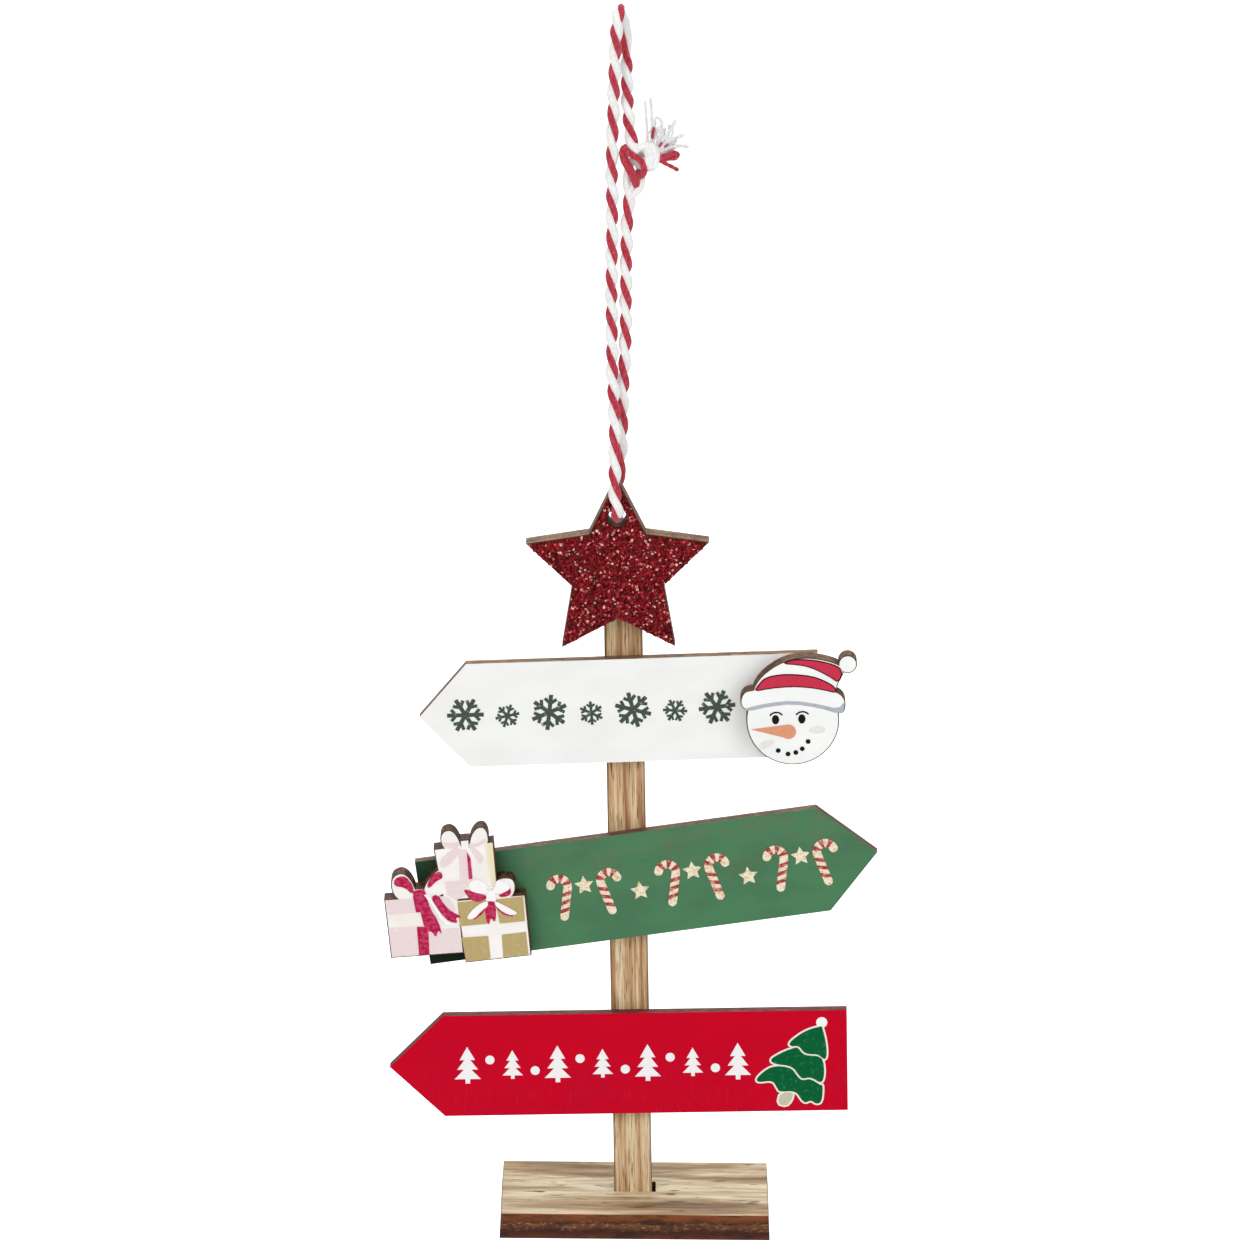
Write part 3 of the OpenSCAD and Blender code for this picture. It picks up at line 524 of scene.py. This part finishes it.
def make_piece(name, shells, finishes, smooth=True):
    """One object from several (points, faces, number of its finish) shells."""
    points, faces, kinds = [], [], []
    for shell_points, shell_faces, kind in shells:
        first = len(points)
        points.extend(map(tuple, shell_points))
        faces.extend([[first + i for i in face] for face in shell_faces])
        kinds.extend([kind] * len(shell_faces))
    mesh = bpy.data.meshes.new(name)
    mesh.from_pydata(points, [], faces)
    for finish in finishes:
        mesh.materials.append(finish.material)
    mesh.polygons.foreach_set("material_index", kinds)
    mesh.polygons.foreach_set("use_smooth", [smooth] * len(faces))
    mesh.update()
    piece = bpy.data.objects.new(name, mesh)
    bpy.context.scene.collection.objects.link(piece)
    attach(piece, "root")
    return piece


# Route of the twine in millimetres: up from the knot, over the top, down in front,
# through the hole from the front and up behind the star, back to the knot
ROUTE_MM = [
    [2.3, 0.1, -18.3], [1.9, 0.3, -17.3], [1.5, 0.5, -15.8], [1.2, 0.7, -13], [1, 0.9, -9.5],
    [0.9, 1.4, -6], [0.7, 1.9, -3], [0.4, 1.8, -0.8], [0.2, 1.1, 0.5], [0, 0, 0.9],
    [-0.2, -1.1, 0.5], [-0.4, -1.8, -0.8], [-0.5, -1.9, -3], [-0.6, -1.4, -6], [-0.7, -0.9, -9.5],
    [-0.8, -0.5, -14], [-0.9, -0.3, -20], [-0.8, -0.3, -26], [-0.8, -0.3, -32], [-0.8, -0.3, -38],
    [-0.7, -0.4, -43], [-0.6, -0.7, -48], [-0.3, -1.1, -53], [-0.2, -1.7, -57.5],
    [-0.2, -2.5, -61.5], [-0.1, -2.95, -64], [0.2, -3.0, -66.1], [0.2, -2.65, -66.95],
    [0.2, -1.8, -67.3], [0.2, 1.5, -67.3], [0.2, 2.25, -67], [0.2, 2.55, -66.25],
    [0.3, 2.6, -64.5], [0.5, 2.4, -62], [0.7, 1.9, -58.5], [0.8, 1.3, -54], [0.9, 0.8, -49],
    [1.1, 0.5, -43.5], [1.1, 0.4, -38], [1.1, 0.4, -32], [1.2, 0.4, -27.5],
    [1.4, 0.6, -24.5], [1.4, 0.6, -23],
]
TWINE_STEP = 0.3 * MM
# Place of each cotton in a piece's list of finishes
# The third is the white cotton of the frayed ends, painted grey: painted shade between the yarns
RED, WHITE, SHADED_WHITE = 0, 1, 2
# Radius of each ply, and how far its middle lies from the middle of the twine
PLY_R = {RED: 0.46 * MM, WHITE: 0.54 * MM}
PLY_REACH = 0.36 * MM
PLY_SIDES = 20
PLY_STRANDS = {"lobes": 5, "lobe_depth": 0.045, "lobe_lay": 2.6 * MM}
# Places along the route where the red ply faces the camera, one for each turn of the plies.
# The first and the last lie just beyond the route's ends
RED_IN_FRONT_MM = [-2.2, 3.4, 8.1, 12.9, 20.7, 25.3, 31.1, 36.7, 42.5, 47.9, 53.5, 58.8, 63.9, 69.1,
                   74.4, 80.0, 85.3, 93.4, 101.5, 108.1, 113.8, 119.6, 124.9, 130.1, 135.6, 141.1]
TO_CAMERA = (0, -math.cos(PITCH), math.sin(PITCH))


def plies(line):
    """A red and a white ply laid round a line, to the left."""
    ahead, side, up = line_frames(line)
    along = distance_along(line)
    front = np.unwrap(np.arctan2(up.dot(TO_CAMERA), side.dot(TO_CAMERA)))
    places = np.array(RED_IN_FRONT_MM) * MM
    turns = np.interp(places, along, front) - 2 * math.pi * np.arange(len(places))
    turn = np.interp(along, places, turns)[:, None]
    shells = []
    for kind in (RED, WHITE):
        across = turn + math.pi * kind
        centre = line + PLY_REACH * (np.cos(across) * side + np.sin(across) * up)
        shells.append((*tube(centre, PLY_R[kind], PLY_SIDES, **PLY_STRANDS), kind))
    return shells


def cotton(name, colour, deep, light):
    """Matt cotton with upright threads."""
    f = Finish(name, COTTON_ROUGHNESS)
    threads = f.noise((0, 0, 0), NO_TURN, *COTTON_THREADS)
    tone = f.ramp(threads, [(0.32, deep), (0.5, colour), (0.68, light)])
    f.set(Base_Color=tone, Sheen_Weight=0.35, Sheen_Roughness=0.5)
    return f.bump(threads, *COTTON_BUMP)


RED_COTTON = cotton("red_cotton", "B41E36", "8C0C22", "CC4458")
WHITE_COTTON = cotton("white_cotton", "F6F6F4", "E4E6E4", "FCFCFC")
# White cotton painted grey: painted shade on the frayed white yarns
SHADED_WHITE_COTTON = cotton("white_cotton_painted_shade", "E8E8E8", "CECECF", "F2F2F2")

route_line = spread_evenly(np.array(ROUTE_MM) * MM, TWINE_STEP)
twine = make_piece("twine_strands", plies(route_line), [RED_COTTON, WHITE_COTTON])
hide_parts("twine_loop")

# The overhand knot, where the plies open a little: each run is drawn by itself, with its
# radius and its points in mm from the middle of the knot
KNOT_MID = np.array([2.05, 0.4, -20.5])
KNOT_STEP = 0.15 * MM
KNOT_SIDES = 18
KNOT_STRANDS = {"lobes": 5, "lobe_depth": 0.05, "lobe_lay": 2.2 * MM}
KNOT_PLIES = [
    (RED, 0.57, [[0.55, 0.35, -2.6], [0.3, -0.3, -2.0], [-0.15, -0.8, -0.8], [-0.85, -0.9, 0.6],
                 [-1.35, -0.8, 1.6], [-1.45, -0.5, 2.3], [-1.2, -0.1, 2.8], [-0.8, 0.3, 2.5]]),
    (RED, 0.45, [[-1.35, 0, 2.6], [-1.15, -0.6, 2.75], [-0.75, -0.95, 2.4], [-0.2, -1.05, 2.05],
                 [0.4, -1.05, 1.7], [1.05, -1.0, 1.1], [1.3, -1.0, 0.2], [1.05, -0.9, -0.65],
                 [0.5, -0.4, -0.6], [1.2, 0.6, 0.0], [2.5, 0.4, 0.9], [3.2, 0, 1.3]]),
    (WHITE, 0.52, [[-0.85, -0.1, -2.8], [-1.0, 0, -2.0], [-0.9, 0.2, -0.7], [-0.5, 0.5, 0.6],
                   [0.3, 0.6, 1.6], [1.5, 0.4, 2.0], [2.4, 0.2, 2.2]]),
    (WHITE, 0.48, [[-0.35, -0.2, -3.7], [0.1, -0.45, -3.2], [0.75, -0.35, -2.5], [1.0, 0, -1.6],
                   [0.9, 0.3, -0.6], [0.4, 0.2, 0.8], [0.2, 0.1, 1.4], [0.1, 0.3, 2.4]]),
    (WHITE, 0.42, [[-0.6, 0.1, -3.2], [-0.25, 0, -2.6], [0.1, 0.1, -1.8], [0.1, 0.3, -0.8]]),
    (WHITE, 0.5, [[-0.39, -0.38, 3.28], [0.2, -0.6, 3.05], [0.8, -0.6, 3.05], [1.4, -0.5, 3.2],
                  [2.1, -0.6, 3.3], [2.75, -0.5, 2.6], [2.85, -0.7, 1.5], [2.5, -0.7, 0.5],
                  [1.95, -0.1, 0.15], [1.75, 0.8, 0.5], [1.8, 0.8, 2.2], [1.75, 0.1, 3.2],
                  [1.95, -0.8, 2.6], [2.15, -1.0, 1.4], [2.05, -0.8, 0.4], [2.3, 0.4, 0.8],
                  [2.8, 0.3, 2.3]]),
    (WHITE, 0.42, [[1.3, -0.2, 2.7], [1.75, -0.9, 2.0], [1.7, -0.9, 0.9], [1.85, -0.2, 0.2]]),
]


def knot_turns():
    shells = []
    for kind, radius, points in KNOT_PLIES:
        line = spread_evenly((KNOT_MID + np.array(points)) * MM, KNOT_STEP)
        shells.append((*tube(line, radius * MM, KNOT_SIDES, **KNOT_STRANDS), kind))
    return shells


knot = make_piece("twine_knot_turns", knot_turns(), [RED_COTTON, WHITE_COTTON])
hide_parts("twine_knot")

# The frayed ends, in mm: soft yarns that spread from the knot. The long ones are drawn one by
# one, with their radius and their points from root to tip
YARN_STEP = 0.12 * MM
YARN_SIDES = 9
YARN_SWELL = 0.1
YARN_WAVES = 23
YARN_ROUNDED = 0.06
YARN_TIP = 0.04
LONG_YARNS = [
    (SHADED_WHITE, 0.18, [[4.0, 0.2, -18.2], [3.75, 0.3, -16.2], [3.6, 0.3, -14.0], [3.4, 0.3, -11.2]]),
    (SHADED_WHITE, 0.19, [[4.2, 0.3, -18.2], [4.3, 0.4, -16], [4.3, 0.2, -13.8], [4.1, 0.2, -10.7]]),
    (SHADED_WHITE, 0.2, [[4.2, 0.1, -18], [4.25, 0.2, -15.8], [4.5, 0.2, -14.2], [5.0, 0.2, -13.5],
                 [5.55, 0.2, -14.1], [5.45, 0.1, -15.7], [4.8, 0.1, -17.6]]),
    (SHADED_WHITE, 0.24, [[4.7, 0.2, -18.1], [5.8, 0, -16.4], [6.7, 0, -15.2], [7.5, 0.2, -13.7]]),
    (SHADED_WHITE, 0.24, [[4.8, 0.2, -18.3], [6.0, 0, -17.0], [7.2, 0, -16.3], [8.6, 0.2, -15.8]]),
    (SHADED_WHITE, 0.24, [[4.9, 0.2, -18.4], [6.4, 0, -17.6], [7.8, 0.1, -17.3], [9.3, 0.2, -17.4]]),
    (RED, 0.2, [[4.38, -0.2, -16.2], [4.44, -0.4, -15.45], [4.62, -0.2, -14.7]]),
    (RED, 0.15, [[5.3, -0.3, -17.3], [5.45, -0.45, -17.0], [5.65, -0.3, -16.7]]),
    (RED, 0.1, [[6.0, -0.3, -17.4], [6.2, -0.4, -17.2], [6.5, -0.3, -16.9]]),
    (RED, 0.34, [[5.2, 0, -18.9], [6.4, -0.2, -18.55], [7.3, -0.3, -18.15], [7.75, -0.2, -18.35],
                 [7.5, 0, -18.8], [6.6, 0.1, -19.0], [5.2, 0.1, -19.2]]),
    (RED, 0.27, [[5.2, 0.1, -19.2], [6.3, 0, -19.75], [7.1, 0, -20.15], [7.9, 0, -20.6]]),
]
# The short ones run at random from about one root towards a line of tips
FAN_YARNS = 34
FRAY_ROOT = np.array([4.6, 0.3, -18.4])
ROOT_SPREAD = 0.22
FAN_TIPS = [[4.2, 0.2, -13.4], [5.4, 0.1, -13.8], [6.5, 0.4, -14.2], [7.4, -0.3, -14.6],
            [8.1, 0.5, -15.9], [8.6, 0.1, -17.2]]
FAN_REACH = (0.55, 1.0)
FAN_BENDS = (0.35, 0.7)
FAN_BOW = 0.09
FAN_RADIUS = (0.12, 0.21)


def soft_yarn(points, radius):
    """A yarn, in mm, that swells a little and ends round."""
    line = spread_evenly(np.array(points) * MM, YARN_STEP)
    share = np.linspace(0, 1, len(line))
    swell = 1 + YARN_SWELL * np.sin(share * YARN_WAVES)
    round_end = np.sqrt(np.clip((1 - share) / YARN_ROUNDED, YARN_TIP, 1))
    return tube(line, radius * swell * round_end * MM, YARN_SIDES)


def frayed_ends():
    rng = np.random.default_rng(7)
    shells = [(*soft_yarn(points, radius), kind) for kind, radius, points in LONG_YARNS]
    for _ in range(FAN_YARNS):
        share = rng.uniform(0, len(FAN_TIPS) - 1)
        k = min(int(share), len(FAN_TIPS) - 2)
        tip = np.array(FAN_TIPS[k]) * (1 - share + k) + np.array(FAN_TIPS[k + 1]) * (share - k)
        root = FRAY_ROOT + rng.normal(0, ROOT_SPREAD, 3)
        run = (tip - root) * rng.uniform(*FAN_REACH)
        bow = np.cross(run, (0, 1, 0)) * rng.normal(0, FAN_BOW)
        points = [root, *(root + run * bend + bow for bend in FAN_BENDS), root + run]
        shells.append((*soft_yarn(points, rng.uniform(*FAN_RADIUS)), SHADED_WHITE))
    return shells


fray = make_piece("twine_frayed_ends", frayed_ends(),
                  [RED_COTTON, WHITE_COTTON, SHADED_WHITE_COTTON])


# Glitter on the star

FLAKES = 5200
FLAKE_CORNERS = 6
# Radius of a flake in mm, how far it tilts, and how far it stands off the card, in mm
FLAKE_RADIUS = (0.11, 0.24)
FLAKE_TILT = 0.38
FLAKE_LIFT = 0.06
FLAKE_LIFT_SPREAD = 0.03
# A face whose normal is below this along Y is at the front
FRONT_NORMAL = -0.9


def front_points(node, count, rng):
    """Points spread evenly over the front of a node."""
    mesh = NODES[node].data
    mesh.calc_loop_triangles()
    corners = np.array([[mesh.vertices[i].co for i in t.vertices]
                        for t in mesh.loop_triangles if t.normal[Y] < FRONT_NORMAL], float)
    across, up = corners[:, 1] - corners[:, 0], corners[:, 2] - corners[:, 0]
    area = np.linalg.norm(np.cross(across, up), axis=1)
    pick = rng.choice(len(area), count, p=area / area.sum())
    u, v = rng.random((2, count, 1))
    u, v = np.where(u + v > 1, 1 - u, u), np.where(u + v > 1, 1 - v, v)
    a, b, c = (corners[pick, i] for i in range(3))
    return a + u * (b - a) + v * (c - a)


def glitter_flakes():
    """Small six-sided flakes, each lying at its own tilt."""
    rng = np.random.default_rng(11)
    shells = []
    for spot in front_points("star_glitter", FLAKES, rng):
        size = rng.uniform(*FLAKE_RADIUS) * MM
        tilt = rng.normal(0, FLAKE_TILT, 2)
        lift = spot[Y] - (FLAKE_LIFT + abs(rng.normal(0, FLAKE_LIFT_SPREAD))) * MM
        turn = rng.uniform(0, math.pi) + np.arange(FLAKE_CORNERS) * math.pi / 3
        u, v = size * np.cos(turn), size * np.sin(turn)
        ring = np.stack([spot[X] + u, lift + u * tilt[0] + v * tilt[1], spot[Z] + v], axis=1)
        shells.append((ring, [list(range(FLAKE_CORNERS))], 0))
    return shells


def flake_finish():
    """One of seven tones for each flake, dark red for most; the pale pink tones of a few are painted
    glints of light.
    """
    f = Finish("glitter_flakes", FLAKE_ROUGHNESS)
    each = f.node("ShaderNodeNewGeometry").outputs["Random Per Island"]
    # The last two tones, pale pink, are painted glints
    tone = f.ramp(each, [(0.0, "3E0408"), (0.18, "62080F"), (0.42, "840E16"), (0.68, "A0161E"),
                         (0.86, "BC3038"), (0.92, "E48E86"), (0.975, "F8CCC2")], constant=True)
    f.set(Base_Color=tone, Specular_IOR_Level=FLAKE_GLOSS)
    return f


make_piece("star_glitter_flakes", glitter_flakes(), [flake_finish()], smooth=False)


# Light and surroundings

# Name, place, width and power in watts of each lamp, all turned to the middle of the ornament
LAMPS = [
    ("key", (-0.5, -1.1, 0.75), 0.7, 6.1),
    ("fill", (0.9, -1.0, 0.2), 0.9, 2.9),
    ("top", (0.1, 0.2, 1.1), 0.8, 3.3),
    ("back", (-0.2, 1.2, 0.4), 0.9, 3.3),
]
MIDDLE = Vector((0, 0, -0.1))
# The world is white where it is seen, and this bright as a light
WORLD_LEVEL = 0.55
# The floor lies well below the hanging ornament, and its own light brings it to white
FLOOR_Z = -0.34
FLOOR_SIZE = 12
FLOOR_ROUGHNESS = 0.9
FLOOR_LIFT = 0.65


def add_lamp(name, at, width, power):
    data = bpy.data.lights.new(name, "AREA")
    data.shape = "DISK"
    data.size = width
    data.energy = power
    lamp = bpy.data.objects.new(name, data)
    bpy.context.scene.collection.objects.link(lamp)
    turn = (MIDDLE - Vector(at)).to_track_quat("-Z", "Y").to_matrix().to_4x4()
    lamp.matrix_world = Matrix.Translation(at) @ turn


def seen_rays(tree):
    """1 where the surroundings are seen straight, in a mirror or through glass."""
    path = tree.nodes.new("ShaderNodeLightPath").outputs
    seen = path["Is Camera Ray"]
    for name in ("Is Glossy Ray", "Is Transmission Ray"):
        most = tree.nodes.new("ShaderNodeMath")
        most.operation = "MAXIMUM"
        tree.links.new(seen, most.inputs[0])
        tree.links.new(path[name], most.inputs[1])
        seen = most.outputs[0]
    return seen


def add_floor():
    half = FLOOR_SIZE / 2
    mesh = bpy.data.meshes.new("floor")
    spread = [(-half, -half), (half, -half), (half, half), (-half, half)]
    corners = [(x, y, FLOOR_Z) for x, y in spread]
    mesh.from_pydata(corners, [], [[0, 1, 2, 3]])
    floor = bpy.data.objects.new("floor", mesh)
    bpy.context.scene.collection.objects.link(floor)
    f = Finish("floor", FLOOR_ROUGHNESS)
    f.set(Base_Color="F4F4F4", Emission_Color="FFFFFF",
          Emission_Strength=f.math("MULTIPLY", seen_rays(f.tree), FLOOR_LIFT))
    mesh.materials.append(f.material)


def light_world():
    world = bpy.data.worlds.new("world")
    bpy.context.scene.world = world
    world.use_nodes = True
    nodes, links = world.node_tree.nodes, world.node_tree.links
    level = nodes.new("ShaderNodeMapRange")
    level.inputs["To Min"].default_value = WORLD_LEVEL
    level.inputs["To Max"].default_value = 1.0
    links.new(seen_rays(world.node_tree), level.inputs["Value"])
    background = nodes["Background"]
    background.inputs["Color"].default_value = (1, 1, 1, 1)
    links.new(level.outputs["Result"], background.inputs["Strength"])


for lamp in LAMPS:
    add_lamp(*lamp)
add_floor()
light_world()
